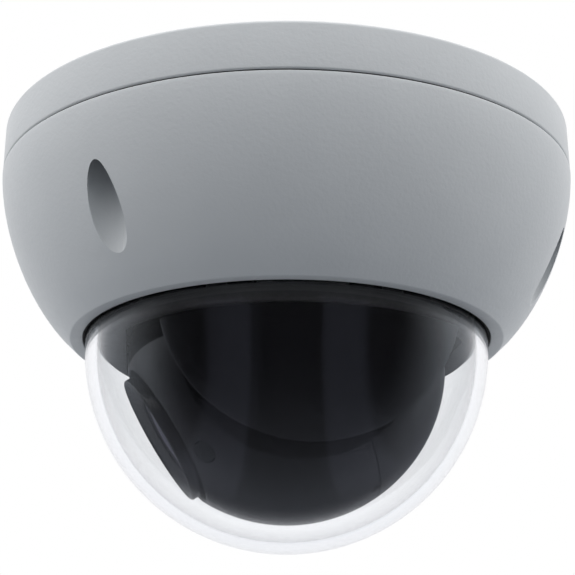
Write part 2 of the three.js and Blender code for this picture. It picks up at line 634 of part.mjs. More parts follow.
const head = new THREE.Group();
head.position.z = TILT_Z;
head.rotation.y = radians(TILT_REST);
turret.add(head);
part(head, 'ball_front_shell', ballShell(true), GLOSS_BLACK);
part(head, 'ball_rear_shell', ballShell(false), GLOSS_BLACK);
part(head, 'sensor_window', sensorWindow(), LENS_GLASS);
part(head, 'trunnion_near', trunnion(1), STEEL);
part(head, 'trunnion_far', trunnion(-1), STEEL);
part(head, 'tilt_gear', tiltGear(), NYLON);
part(head, 'lens_barrel', lensBarrel(), SATIN_BLACK);
part(head, 'lens_bezel', lensBezel(), GLOSS_BLACK);
part(head, 'front_glass', frontGlass(), LENS_GLASS);
part(head, 'focus_lens', lensElement(ELEMENT.focusBack), LENS_GLASS);
part(head, 'zoom_lens', lensElement(ELEMENT.zoomBack), LENS_GLASS);
part(head, 'ir_cut_filter', plateAcross(FILTER), TINTED_GLASS);
part(head, 'image_sensor', plateAcross(SENSOR), CHIP_BLACK);
part(head, 'sensor_board', plateAcross(SENSOR_BOARD), BOARD_GREEN);
part(head, 'zoom_motor', lensMotor(1), STEEL);
part(head, 'focus_motor', lensMotor(-1), STEEL);

export default camera;
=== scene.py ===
import json
import math

import bmesh
import bpy
from mathutils import Matrix, Vector


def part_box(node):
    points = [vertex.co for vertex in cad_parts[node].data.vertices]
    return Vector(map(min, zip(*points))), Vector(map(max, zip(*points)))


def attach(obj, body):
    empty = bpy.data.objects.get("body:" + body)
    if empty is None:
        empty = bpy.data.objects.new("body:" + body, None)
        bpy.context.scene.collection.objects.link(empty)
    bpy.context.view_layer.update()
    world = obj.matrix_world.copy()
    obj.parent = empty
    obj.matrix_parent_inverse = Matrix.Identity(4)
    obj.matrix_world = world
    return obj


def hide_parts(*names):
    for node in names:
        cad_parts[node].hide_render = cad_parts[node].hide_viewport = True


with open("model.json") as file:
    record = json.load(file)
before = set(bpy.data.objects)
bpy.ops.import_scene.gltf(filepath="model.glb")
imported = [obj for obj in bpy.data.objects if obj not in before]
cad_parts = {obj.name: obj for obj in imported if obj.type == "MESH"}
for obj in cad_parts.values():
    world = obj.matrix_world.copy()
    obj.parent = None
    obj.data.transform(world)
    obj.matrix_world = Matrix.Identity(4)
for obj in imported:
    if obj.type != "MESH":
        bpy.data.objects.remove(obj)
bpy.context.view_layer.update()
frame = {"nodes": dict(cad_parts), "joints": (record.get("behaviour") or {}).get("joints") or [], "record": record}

# ------------------------------------------------------------------ units and driving sizes
# Lengths below are in millimetres in the frame of the part; meshes are scaled to metres.
MM = 0.001
TAU = 2 * math.pi


def reach(node):
    """Largest radius, lowest and highest point of a CAD node, in millimetres."""
    low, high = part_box(node)
    return max(-low.x, high.x, -low.y, high.y) / MM, low.z / MM, high.z / MM


JOINTS = {j["name"]: j for j in frame["joints"]}
TILT_AXIS = Vector(JOINTS["tilt"]["axis"]).normalized()
LENS_AXIS = Vector(JOINTS["zoom"]["axis"]).normalized()
BALL_CENTRE = Vector(JOINTS["tilt"]["pos_m"]) / MM
ACROSS = Vector((TILT_AXIS.y, -TILT_AXIS.x, 0))      # level, square to the tilt axis, lens side

TRIM_R, TRIM_LOW, TRIM_TOP = reach("trim_cover")
BASE_R, SPIGOT_LOW, CEILING = reach("base_housing")
_, DOME_LOW, DOME_TOP = reach("dome")
PLATE_R, PLATE_LOW, _ = reach("mounting_plate")
GASKET_R, GASKET_LOW, GASKET_TOP = reach("dome_gasket")
_, CLAMP_LOW, CLAMP_TOP = reach("dome_clamp_ring")
DECK_R, _, POST_TOP = reach("turret_cover")

BASE_BOTTOM = -10.05
SEAM_TOP = -10.45
SEAM_R = 60.15
SPIGOT_R = 57.3
BASE_TOP_R = 60.3
WALL = 1.8
BELLY_DROP = 10.0            # control points of the bowl's curve
BELLY_SHOULDER = 9.9
BELLY_RISE = 8.65
LIP_R = 45.3
LIP_ROUND = 0.55
OPENING_R = 42.6
SEAT_R = 45.9
SEAT_Z = -43.3
BACK_WALL_TOP = -1.8
BACK_WALL_LOW = -4.3
SPIGOT_INNER = 54.9
CABLE_Y = 24.0
CABLE_HOLE_R = 8.0
PLATE_CABLE_R = 11.0
PLATE_SCREW_CIRCLE = 37.0
PLATE_SCREW_R = 2.3
PLATE_SCREW_AZIMUTHS = (210, 330, 450)
GLAND_BORE = 5.4
GLAND_R = 7.6
GLAND_FLANGE = 10.0
GLAND_LOW = -6.2
GLAND_STEP = -4.6
GLAND_TOP = -2.0
SEAL_CIRCLE = 57.9
SEAL_SECTION = 0.4
SEAL_Z = -11.8
GASKET_INNER = 42.2
GASKET_SKIRT = 42.5
SKIRT_LOW = -44.9
CLAMP_INNER = 40.2
CLAMP_R = 45.3
EAR_CIRCLE = 46.9
EAR_R = 1.3
EAR_HOLE = 0.9
EAR_AZIMUTHS = (21.6, 141.6, 261.6)
POCKET_CIRCLE = 54.87
POCKET_R = 3.9
POCKET_WALL = 1.2
POCKET_CEILING = -17.5
POCKET_CUP_LOW = -44.0
POCKET_CUP_TOP = -13.9
POCKET_AZIMUTHS = (-38.4, 81.6, 201.6)
COVER_SCREW_HOLE = 1.6
COVER_SCREW_HEAD = 3.0
COVER_SCREW_LOW = -20.3
DOME_R = 42.1
DOME_WALL = 2.4
DOME_CENTRE = -46.9
FLANGE_R = 45.4
FLANGE_LOW = -41.6
DECK_LOW = -48.07
DECK_TOP = -44.6
OPENING_DECK_R = 37.0
OPENING_DECK_HALF = 33.5
CHEEK_R = 38.2
CHEEK_WALL = 1.8
CHEEK_CENTRE = -41.8
CHEEK_SHIFT = -1.5
CHEEK_INNER = 23.0
POST_X = 17.0
POST_Y = 29.0
POST_R = 2.0
POST_LOW = -53.2
BALL_R = 33.06
BALL_WALL = 1.86
BALL_HALF = 22.3
BALL_WALL_INSIDE = 20.5
TRUNNION_HOLE = 4.35
PARTING = -0.7
PARTING_GAP = 0.15           # half the width of the parting line
CLIP_NOTCH = ((-0.6, 8.6, -34), (1.0, 11.2, -31.4))      # corners of the clip's slot on the parting line
LENS_HOLE = 15.2
BEZEL_R = 13.9
BEZEL_FRONT = 31.25
BEZEL_BACK = 28.2
BEZEL_SKIRT = 26.2
BEZEL_SKIRT_INNER = 13.3
BEZEL_INNER = 9.2
GLASS_R = 8.8
GLASS_BACK = 29.2
GLASS_FRONT = 30.0
GLASS_CURVE = 60.0
BARREL_INNER = 11.2
BARREL_R = 13.0
BARREL_BACK = -2.5
BARREL_FRONT = 27.9
WINDOW_R = 2.2
WINDOW_DIRECTION = Vector((27.05, 16.57, -9.29)).normalized()
FAR = 60.0                   # reach of a cutting tool that runs right through
SEAM_SHADE_COLOR = (0.03, 0.03, 0.032)     # painted shade: near-black colour on the wall behind the seam, standing in for the shade in that gap

# ------------------------------------------------------------------ camera
CAMERA_DISTANCE = 380.0
CAMERA_DIP = math.radians(17.342)
CAMERA_AIM = -40.0
LENS_MM = 112.71
SHIFT = (0.0016, 0.0588)


def make_camera():
    data = bpy.data.cameras.new("camera")
    data.lens = LENS_MM
    data.sensor_width = 36.0
    data.shift_x, data.shift_y = SHIFT
    data.clip_start = 0.01
    data.clip_end = 50.0
    camera = bpy.data.objects.new("camera", data)
    bpy.context.scene.collection.objects.link(camera)
    view = Vector((0, math.cos(CAMERA_DIP), math.sin(CAMERA_DIP)))
    camera.location = (Vector((0, 0, CAMERA_AIM)) - view * CAMERA_DISTANCE) * MM
    camera.rotation_euler = view.to_track_quat("-Z", "Y").to_euler()
    bpy.context.scene.camera = camera


# ------------------------------------------------------------------ mesh helpers
def finish_mesh(name, mesh, sharp=32.0):
    mesh.transform(Matrix.Scale(MM, 4))
    mesh.polygons.foreach_set("use_smooth", [True] * len(mesh.polygons))
    mesh.set_sharp_from_angle(angle=math.radians(sharp))
    piece = bpy.data.objects.new(name, mesh)
    bpy.context.scene.collection.objects.link(piece)
    return piece


def fillet(corners, steps=5):
    """Rounds the corners of an outline of (x, y, radius) points. A radius of 0 keeps the corner."""
    outline = []
    count = len(corners)
    for i, (x, y, radius) in enumerate(corners):
        here = Vector((x, y))
        if radius <= 0 or i in (0, count - 1):
            outline.append((x, y))
            continue
        before = (Vector(corners[i - 1][:2]) - here).normalized()
        after = (Vector(corners[i + 1][:2]) - here).normalized()
        half = before.angle(after) / 2
        back = radius / math.tan(half)
        centre = here + (before + after).normalized() * (radius / math.sin(half))
        start = here + before * back - centre
        turn = start.angle_signed(here + after * back - centre)
        for k in range(steps + 1):
            point = centre + Matrix.Rotation(-turn * k / steps, 2) @ start
            outline.append((point.x, point.y))
    return outline


def arc(radius, start, end, steps, centre=0.0):
    """Points on a circle about (0, centre), angles in degrees above the level."""
    points = []
    for k in range(steps + 1):
        angle = math.radians(start + (end - start) * k / steps)
        points.append((radius * math.cos(angle), centre + radius * math.sin(angle)))
    return points


def lathe(outline, segments=192):
    """A closed solid from (radius, height) points turned about Z. Ends on the axis or closes on itself."""
    bm = bmesh.new()
    rings = []
    for radius, height in outline:
        ring = []
        for k in range(segments if radius > 1e-4 else 1):
            angle = TAU * k / segments
            ring.append(bm.verts.new((radius * math.cos(angle), radius * math.sin(angle), height)))
        rings.append(ring)
    closed = len(rings[0]) > 1
    pairs = list(zip(rings, rings[1:] + rings[:1])) if closed else list(zip(rings, rings[1:]))
    for a, b in pairs:
        for k in range(segments):
            n = (k + 1) % segments
            if len(a) == 1 and len(b) == 1:
                break
            if len(a) == 1:
                bm.faces.new((a[0], b[k], b[n]))
            elif len(b) == 1:
                bm.faces.new((a[k], b[0], a[n]))
            else:
                bm.faces.new((a[k], b[k], b[n], a[n]))
    bmesh.ops.recalc_face_normals(bm, faces=bm.faces[:])
    mesh = bpy.data.meshes.new("turned")
    bm.to_mesh(mesh)
    bm.free()
    return mesh


def cuboid(low, high):
    bm = bmesh.new()
    bmesh.ops.create_cube(bm, size=1.0)
    size = Vector(high) - Vector(low)
    middle = (Vector(high) + Vector(low)) / 2
    stretch = Matrix.Translation(middle) @ Matrix.Diagonal((*size, 1))
    bmesh.ops.transform(bm, matrix=stretch, verts=bm.verts[:])
    mesh = bpy.data.meshes.new("cuboid")
    bm.to_mesh(mesh)
    bm.free()
    return mesh


def rod(radius, low, high, segments=64):
    return lathe([(0, low), (radius, low), (radius, high), (0, high)], segments)


def moved(mesh, matrix):
    mesh.transform(matrix)
    return mesh


def at(mesh, x, y, z=0.0):
    return moved(mesh, Matrix.Translation((x, y, z)))


def about_z(mesh, azimuth):
    """Turns a mesh built on the +X side to an azimuth counted from the front (-Y) towards +X."""
    return moved(mesh, Matrix.Rotation(math.radians(azimuth - 90), 4, "Z"))


def combine(base, tools, operation):
    """Boolean of one mesh with others. Returns a new mesh."""
    holder = bpy.data.objects.new("work", base)
    bpy.context.scene.collection.objects.link(holder)
    others = []
    for tool in tools:
        other = bpy.data.objects.new("tool", tool)
        bpy.context.scene.collection.objects.link(other)
        modifier = holder.modifiers.new("cut", "BOOLEAN")
        modifier.operation = operation
        modifier.solver = "MANIFOLD"
        modifier.object = other
        others.append(other)
    bpy.context.view_layer.update()
    graph = bpy.context.evaluated_depsgraph_get()
    result = bpy.data.meshes.new_from_object(holder.evaluated_get(graph))
    for thing in [holder, *others]:
        bpy.data.objects.remove(thing)
    return result


def cut(base, *tools):
    return combine(base, tools, "DIFFERENCE")


def join(base, *tools):
    return combine(base, tools, "UNION")


def common(base, tool):
    return combine(base, [tool], "INTERSECT")


def soften(piece, width, angle=40.0, segments=2):
    """Small rounded edges on what a boolean left sharp."""
    modifier = piece.modifiers.new("edges", "BEVEL")
    modifier.width = width * MM
    modifier.segments = segments
    modifier.limit_method = "ANGLE"
    modifier.angle_limit = math.radians(angle)
    modifier.use_clamp_overlap = True
    modifier.harden_normals = False
    return piece


def spot(azimuth, radius):
    angle = math.radians(azimuth - 90)
    return radius * math.cos(angle), radius * math.sin(angle)


def place(piece, body, slot_name, material, *nodes):
    piece.data.materials.clear()
    piece.data.materials.append(material)
    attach(piece, body)
    if nodes:
        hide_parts(*nodes)
    return piece


# Frames of the turret and of the tilted ball, as matrices in millimetres.
TURRET = Matrix((ACROSS, TILT_AXIS, Vector((0, 0, 1)))).transposed().to_4x4()
BALL_UP = LENS_AXIS.cross(TILT_AXIS).normalized()
BALL = Matrix.Translation(BALL_CENTRE) @ Matrix((LENS_AXIS, TILT_AXIS, BALL_UP)).transposed().to_4x4()
Z_TO_X = Matrix.Rotation(math.pi / 2, 4, "Y")
Z_TO_Y = Matrix.Rotation(-math.pi / 2, 4, "X")


# ------------------------------------------------------------------ shader nodes
def map_range(tree, value, low, high, start, end, smooth=False):
    made = tree.nodes.new("ShaderNodeMapRange")
    made.interpolation_type = "SMOOTHSTEP" if smooth else "LINEAR"
    for socket, number in (("From Min", low), ("From Max", high), ("To Min", start), ("To Max", end)):
        made.inputs[socket].default_value = number
    tree.links.new(value, made.inputs["Value"])
    return made.outputs["Result"]


def math_node(tree, operation, *values):
    made = tree.nodes.new("ShaderNodeMath")
    made.operation = operation
    for socket, value in zip(made.inputs, values):
        if isinstance(value, float):
            socket.default_value = value
        else:
            tree.links.new(value, socket)
    return made.outputs[0]


def mix_colors(tree, factor, first, second, mode="MIX"):
    """Blends two colours, each a socket or three numbers, by a factor."""
    made = tree.nodes.new("ShaderNodeMix")
    made.data_type = "RGBA"
    made.blend_type = mode
    tree.links.new(factor, made.inputs["Factor"])
    for name, color in (("A", first), ("B", second)):
        if isinstance(color, tuple):
            made.inputs[name].default_value = (*color, 1)
        else:
            tree.links.new(color, made.inputs[name])
    return made.outputs["Result"]


# ------------------------------------------------------------------ materials
class Shader:
    """A Principled material with a few helpers for procedural detail."""

    def __init__(self, name, color, roughness, metallic=0.0, **uniform):
        self.material = bpy.data.materials.new(name)
        self.material.use_nodes = True
        self.tree = self.material.node_tree
        self.shader = self.tree.nodes["Principled BSDF"]
        self.shader.inputs["Base Color"].default_value = (*color, 1)
        self.shader.inputs["Roughness"].default_value = roughness
        self.shader.inputs["Metallic"].default_value = metallic
        for socket, value in uniform.items():
            self.shader.inputs[socket.replace("_", " ")].default_value = value
        self.coordinates = self.tree.nodes.new("ShaderNodeTexCoord").outputs["Object"]
        self.last_bump = None

    def node(self, kind, **settings):
        made = self.tree.nodes.new(kind)
        for key, value in settings.items():
            setattr(made, key, value)
        return made

    def link(self, a, b):
        self.tree.links.new(a, b)

    def stretched(self, scale):
        mapping = self.node("ShaderNodeMapping")
        mapping.inputs["Scale"].default_value = scale
        self.link(self.coordinates, mapping.inputs["Vector"])
        return mapping.outputs["Vector"]

    def noise(self, scale, detail=2.0, rough=0.5, vector=None):
        made = self.node("ShaderNodeTexNoise")
        made.inputs["Scale"].default_value = scale
        made.inputs["Detail"].default_value = detail
        made.inputs["Roughness"].default_value = rough
        self.link(vector or self.coordinates, made.inputs["Vector"])
        return made.outputs["Fac"]

    def cells(self, scale, feature="F1"):
        made = self.node("ShaderNodeTexVoronoi", feature=feature)
        made.inputs["Scale"].default_value = scale
        self.link(self.coordinates, made.inputs["Vector"])
        return made.outputs["Distance"]

    def bump(self, height, strength, distance):
        made = self.node("ShaderNodeBump")
        made.inputs["Strength"].default_value = strength
        made.inputs["Distance"].default_value = distance
        self.link(height, made.inputs["Height"])
        if self.last_bump:
            self.link(self.last_bump, made.inputs["Normal"])
        self.last_bump = made.outputs["Normal"]
        self.link(self.last_bump, self.shader.inputs["Normal"])

    def paint_seam_shade(self, radius, lowest, highest, color):
        """Paints another base colour between two heights and closer to the vertical axis than a radius; used as
        painted shade in the seam gap.
        """
        split = self.node("ShaderNodeSeparateXYZ")
        self.link(self.coordinates, split.inputs[0])
        flat = self.node("ShaderNodeVectorMath", operation="MULTIPLY")
        flat.inputs[1].default_value = (1, 1, 0)
        self.link(self.coordinates, flat.inputs[0])
        length = self.node("ShaderNodeVectorMath", operation="LENGTH")
        self.link(flat.outputs["Vector"], length.inputs[0])
        near = math_node(self.tree, "LESS_THAN", length.outputs["Value"], radius * MM)
        above = math_node(self.tree, "GREATER_THAN", split.outputs["Z"], lowest * MM)
        below = math_node(self.tree, "LESS_THAN", split.outputs["Z"], highest * MM)
        between = math_node(self.tree, "MULTIPLY", above, below)
        inside = math_node(self.tree, "MULTIPLY", near, between)
        paint = self.shader.inputs["Base Color"].links[0].from_socket
        self.link(mix_colors(self.tree, inside, paint, color), self.shader.inputs["Base Color"])

    def vary(self, socket, factor, low, high, start=0.3, end=0.7):
        """Lets a factor run a number or a colour socket from low to high."""
        if isinstance(low, float):
            value = map_range(self.tree, factor, start, end, low, high)
        else:
            ramp = self.node("ShaderNodeValToRGB")
            ends = ramp.color_ramp.elements
            ends[0].position = start
            ends[1].position = end
            ends[0].color = (*low, 1)
            ends[1].color = (*high, 1)
            self.link(factor, ramp.inputs["Fac"])
            value = ramp.outputs["Color"]
        self.link(value, self.shader.inputs[socket])


def powder_coat():
    s = Shader("powder_coat", (0.65, 0.665, 0.675), 0.5, Specular_IOR_Level=0.4)
    s.vary("Base Color", s.noise(90.0, 3.0), (0.640, 0.657, 0.668), (0.660, 0.677, 0.687))
    # painted shade: darkens the wall behind the seam between base and trim, where shade falls in the gap
    s.paint_seam_shade(SEAM_R + 0.02, SPIGOT_LOW - 0.1, -4.0, SEAM_SHADE_COLOR)
    s.vary("Roughness", s.noise(700.0, 2.0), 0.42, 0.58)
    s.bump(s.noise(1150.0, 2.0, 0.55), 0.34, 0.00016)
    s.bump(s.cells(2100.0), 0.10, 0.00006)
    return s.material


def clear_dome():
    s = Shader("clear_dome", (0.97, 0.978, 0.99), 0.0, Transmission_Weight=1.0, IOR=1.585)
    s.bump(s.noise(14.0, 1.0), 0.004, 0.0004)
    return s.material


def gloss_black():
    s = Shader("gloss_black", (0.006, 0.006, 0.007), 0.09, Specular_IOR_Level=0.55)
    s.vary("Roughness", s.noise(140.0, 3.0), 0.07, 0.12)
    s.bump(s.noise(70.0, 2.0), 0.03, 0.0002)
    s.bump(s.noise(2600.0, 1.0), 0.02, 0.00002)
    return s.material


def deck_black():
    s = Shader("deck_black", (0.035, 0.035, 0.037), 0.42, Specular_IOR_Level=0.65)
    s.vary("Base Color", s.noise(900.0, 3.0), (0.027, 0.027, 0.029), (0.044, 0.044, 0.047))
    s.vary("Roughness", s.noise(1500.0, 2.0), 0.34, 0.52)
    s.bump(s.noise(2300.0, 3.0, 0.6), 0.5, 0.00008)
    return s.material


def satin_black():
    s = Shader("satin_black", (0.018, 0.018, 0.019), 0.42)
    s.vary("Roughness", s.noise(800.0, 2.0), 0.34, 0.5)
    s.bump(s.noise(1800.0, 2.0), 0.2, 0.00005)
    return s.material


def rubber():
    s = Shader("rubber", (0.012, 0.012, 0.012), 0.78)
    s.vary("Roughness", s.noise(500.0, 3.0), 0.7, 0.88)
    s.bump(s.noise(1600.0, 3.0), 0.3, 0.00008)
    return s.material


def brushed(name, color, rough, metallic=1.0, scale=(40.0, 900.0, 900.0)):
    s = Shader(name, color, rough, metallic)
    grain = s.noise(1.0, 3.0, 0.6, s.stretched(scale))
    s.vary("Roughness", grain, rough - 0.08, rough + 0.12)
    s.vary("Base Color", s.noise(120.0, 2.0), tuple(c * 0.88 for c in color), color)
    s.bump(grain, 0.08, 0.00004)
    return s.material


def moulded(name, color, rough, grain=900.0):
    s = Shader(name, color, rough)
    s.vary("Base Color", s.noise(200.0, 2.0), tuple(c * 0.92 for c in color), color)
    s.vary("Roughness", s.noise(grain, 2.0), rough - 0.06, rough + 0.08)
    s.bump(s.noise(grain * 1.6, 2.0), 0.15, 0.00005)
    return s.material


def circuit_board():
    s = Shader("circuit_board", (0.012, 0.09, 0.03), 0.35, Coat_Weight=0.4)
    tracks = s.node("ShaderNodeTexBrick")
    tracks.inputs["Scale"].default_value = 260.0
    tracks.inputs["Mortar Size"].default_value = 0.06
    s.link(s.coordinates, tracks.inputs["Vector"])
    s.vary("Base Color", tracks.outputs["Fac"], (0.010, 0.075, 0.026), (0.03, 0.17, 0.06))
    s.bump(tracks.outputs["Fac"], 0.3, 0.00004)
    return s.material


def coated_glass(name, color, coat):
    s = Shader(name, color, 0.03, Specular_IOR_Level=0.7, Coat_Weight=1.0, Coat_Roughness=0.02)
    s.shader.inputs["Coat Tint"].default_value = (*coat, 1)
    s.vary("Base Color", s.noise(45.0, 1.0), tuple(c * 0.8 for c in color), color)
    s.bump(s.noise(30.0, 1.0), 0.01, 0.0002)
    return s.material


def window_glass():
    s = Shader("window_glass", (0.004, 0.006, 0.005), 0.25, Specular_IOR_Level=0.25)
    s.vary("Roughness", s.noise(300.0, 2.0), 0.22, 0.30)
    s.bump(s.noise(60.0, 1.0), 0.01, 0.0002)
    return s.material


# ------------------------------------------------------------------ housing
def trim_outline(steps=30):
    """The bowl's outer curve and its inner offset."""
    p0 = Vector((TRIM_R, TRIM_TOP))
    p1 = Vector((TRIM_R, TRIM_TOP - BELLY_DROP))
    p2 = Vector((LIP_R + BELLY_SHOULDER, TRIM_LOW + BELLY_RISE))
    p3 = Vector((LIP_R, TRIM_LOW))
    outer, inner = [], []
    for k in range(steps + 1):
        t = k / steps
        u = 1 - t
        point = p0 * u ** 3 + p1 * 3 * u * u * t + p2 * 3 * u * t * t + p3 * t ** 3
        slope = ((p1 - p0) * u * u + (p2 - p1) * 2 * u * t + (p3 - p2) * t * t).normalized()
        outer.append((point.x, point.y))
        if t < 0.92:
            inner.append((point.x + WALL * slope.y, point.y - WALL * slope.x))
    return outer, inner


def make_trim(material):
    outer, inner = trim_outline()
    inner[0] = (inner[0][0], SEAM_TOP)
    top_edge = [(TRIM_R - 0.12, SEAM_TOP), (TRIM_R - 0.03, SEAM_TOP - 0.03), (TRIM_R, SEAM_TOP - 0.12)]
    lip = fillet([
        (*outer[-4], 0), (LIP_R, TRIM_LOW, LIP_ROUND), (OPENING_R, TRIM_LOW, 0.3), (OPENING_R, SEAT_Z, 0)])
    outline = [*top_edge, *outer[1:-3], *lip[1:], (SEAT_R, SEAT_Z), *inner[::-1]]
    shell = lathe(outline, 256)
    filled = lathe([(0, SEAM_TOP), (TRIM_R, SEAM_TOP), *outer[1:], (0, TRIM_LOW)], 256)
    cups = []
    tools = []
    for azimuth in POCKET_AZIMUTHS:
        x, y = spot(azimuth, POCKET_CIRCLE)
        cup = at(rod(POCKET_R + POCKET_WALL, POCKET_CUP_LOW, POCKET_CUP_TOP, 96), x, y)
        cups.append(common(cup, filled.copy()))
        tools.append(at(rod(POCKET_R, -FAR, POCKET_CEILING, 96), x, y))
        tools.append(at(rod(COVER_SCREW_HOLE, -20, 0, 48), x, y))
    mesh = cut(join(shell, *cups), *tools)
    piece = finish_mesh("trim_cover_shell", mesh)
    soften(piece, 0.28, 38.0)
    return place(piece, "base", "powder_coat", material, "trim_cover")


def make_base(material):
    recess = PLATE_R + 0.4
    outline = fillet([
        (0, BACK_WALL_TOP, 0), (recess, BACK_WALL_TOP, 0.2),
        (recess, CEILING, 0.3), (BASE_TOP_R, CEILING, 0.9),
        (BASE_R, BASE_BOTTOM, 0.42), (SEAM_R, BASE_BOTTOM, 0.05), (SEAM_R, BASE_BOTTOM + 1, 0),
        (SPIGOT_R, BASE_BOTTOM + 1, 0), (SPIGOT_R, SPIGOT_LOW, 0.3),
        (SPIGOT_INNER, SPIGOT_LOW, 0.3), (SPIGOT_INNER, BACK_WALL_LOW, 0.3), (0, BACK_WALL_LOW, 0)])
    body = cut(lathe(outline, 256), at(rod(CABLE_HOLE_R, -8, 2, 96), 0, CABLE_Y))
    piece = finish_mesh("base_housing_shell", body)
    return place(piece, "base", "powder_coat", material, "base_housing")


def make_plate(material):
    outline = fillet([
        (0, PLATE_LOW, 0), (PLATE_R, PLATE_LOW, 0.2), (PLATE_R, CEILING, 0.25), (0, CEILING, 0)])
    tools = [at(rod(PLATE_CABLE_R, -5, 5, 96), 0, CABLE_Y)]
    for azimuth in PLATE_SCREW_AZIMUTHS:
        x, y = spot(azimuth, PLATE_SCREW_CIRCLE)
        tools.append(at(rod(PLATE_SCREW_R, -5, 5, 48), x, y))
    piece = finish_mesh("ceiling_plate", cut(lathe(outline, 192), *tools))
    soften(piece, 0.15, 50.0)
    return place(piece, "base", "steel", material, "mounting_plate")


def make_gland(material):
    outline = fillet([
        (GLAND_BORE, GLAND_LOW, 0), (GLAND_FLANGE, GLAND_LOW, 0.4), (GLAND_FLANGE, GLAND_STEP, 0.2),
        (GLAND_R, GLAND_STEP, 0), (GLAND_R, GLAND_TOP, 0.4), (GLAND_BORE, GLAND_TOP, 0.4),
        (GLAND_BORE, GLAND_LOW, 0)])[:-1]
    piece = finish_mesh("cable_gland_ring", at(lathe(outline, 96), 0, CABLE_Y))
    return place(piece, "base", "rubber", material, "cable_gland")


def make_seal(material):
    section = []
    for k in range(16):
        angle = TAU * k / 16
        radius = SEAL_CIRCLE + SEAL_SECTION * math.cos(angle)
        section.append((radius, SEAL_Z + SEAL_SECTION * math.sin(angle)))
    piece = finish_mesh("trim_seal_ring", lathe(section))
    return place(piece, "base", "rubber", material, "trim_seal")


def make_gasket(material):
    outline = fillet([
        (GASKET_INNER, SKIRT_LOW, 0), (GASKET_SKIRT, SKIRT_LOW, 0), (GASKET_SKIRT, GASKET_LOW, 0),
        (GASKET_R, GASKET_LOW, 0.2), (GASKET_R, GASKET_TOP, 0.2), (GASKET_INNER, GASKET_TOP, 0.2),
        (GASKET_INNER, SKIRT_LOW, 0)])[:-1]
    piece = finish_mesh("dome_gasket_ring", lathe(outline))
    return place(piece, "base", "rubber", material, "dome_gasket")


def make_clamp(material):
    outline = fillet([
        (CLAMP_INNER, CLAMP_LOW, 0), (CLAMP_R, CLAMP_LOW, 0.2), (CLAMP_R, CLAMP_TOP, 0.2),
        (CLAMP_INNER, CLAMP_TOP, 0.2), (CLAMP_INNER, CLAMP_LOW, 0)])[:-1]
    ears = []
    holes = []
    for azimuth in EAR_AZIMUTHS:
        x, y = spot(azimuth, EAR_CIRCLE)
        ears.append(at(rod(EAR_R, CLAMP_LOW, CLAMP_TOP, 48), x, y))
        bridge = cuboid((CLAMP_R - 2.0, -EAR_R, CLAMP_LOW), (EAR_CIRCLE, EAR_R, CLAMP_TOP))
        ears.append(about_z(bridge, azimuth))
        holes.append(at(rod(EAR_HOLE, -45, -30, 32), x, y))
    piece = finish_mesh("dome_clamp_band", cut(join(lathe(outline), *ears), *holes))
    return place(piece, "base", "satin_black", material, "dome_clamp_ring")


def make_dome(material):
    inner = DOME_R - DOME_WALL
    outside = [(0, DOME_LOW), *arc(DOME_R, -90, 0, 72, DOME_CENTRE)[1:]]
    flange = fillet([(DOME_R, DOME_CENTRE, 0), (DOME_R, FLANGE_LOW, 0.5), (FLANGE_R, FLANGE_LOW, 0.3),
                     (FLANGE_R, DOME_TOP, 0.3), (inner, DOME_TOP, 0.3), (inner, DOME_CENTRE, 0)])[1:-1]
    inside = [*arc(inner, 0, -90, 72, DOME_CENTRE)[:-1], (0, DOME_CENTRE - inner)]
    piece = finish_mesh("dome_bubble", lathe([*outside, *flange, *inside], 256), 50.0)
    return place(piece, "base", "clear_dome", material, "dome")


def screw_mesh(head_radius, head_low, head_high, shank_radius, shank_top):
    """A pan head screw with a six-lobed socket."""
    outline = fillet([
        (0, head_low, 0), (head_radius, head_low, 0.5), (head_radius, head_high, 0.1),
        (shank_radius, head_high, 0), (shank_radius, shank_top, 0.3), (0, shank_top, 0)])
    reach_out = head_radius * 0.36
    floor = head_low + 1.2
    lobes = []
    for k in range(6):
        angle = TAU * k / 6
        lobe = rod(head_radius * 0.16, head_low - 1, floor, 24)
        lobes.append(at(lobe, reach_out * math.cos(angle), reach_out * math.sin(angle)))
    socket = join(rod(reach_out, head_low - 1, floor, 48), *lobes)
    return cut(lathe(outline, 64), socket)


def make_cover_screws(material):
    for number, azimuth in enumerate(POCKET_AZIMUTHS, 1):
        x, y = spot(azimuth, POCKET_CIRCLE)
        screw = screw_mesh(COVER_SCREW_HEAD, COVER_SCREW_LOW, POCKET_CEILING - 0.3, 1.2, -6)
        piece = finish_mesh(f"cover_screw_head_{number}", at(screw, x, y))
        place(piece, "base", "screw_steel", material, f"cover_screw_{number}")


# ------------------------------------------------------------------ turret
def make_deck(deck_material, gloss):
    slab = fillet([
        (0, DECK_LOW, 0), (DECK_R, DECK_LOW, 0.9), (DECK_R, DECK_TOP, 0.3), (0, DECK_TOP, 0)], 6)
    opening = common(rod(OPENING_DECK_R, -60, -30, 256),
                     cuboid((-OPENING_DECK_HALF, -60, -65), (OPENING_DECK_HALF, 60, -25)))
    piece = finish_mesh("deck_plate", moved(cut(lathe(slab, 256), opening), TURRET))
    soften(piece, 0.2, 50.0)
    place(piece, "turret", "gloss_black", deck_material, "turret_cover")
    for side, label in ((1, "near"), (-1, "far")):
        make_cheek(side, label, gloss)
    for number, (sx, sy) in enumerate(((1, 1), (1, -1), (-1, 1), (-1, -1)), 1):
        outline = fillet([
            (0, POST_LOW, 0), (POST_R, POST_LOW, 0.2), (POST_R, POST_TOP, 0.3), (0, POST_TOP, 0)])
        post = at(lathe(outline, 48), sx * POST_X, sy * POST_Y)
        piece = finish_mesh(f"deck_post_{number}", moved(post, TURRET))
        place(piece, "turret", "gloss_black", deck_material, "turret_cover")


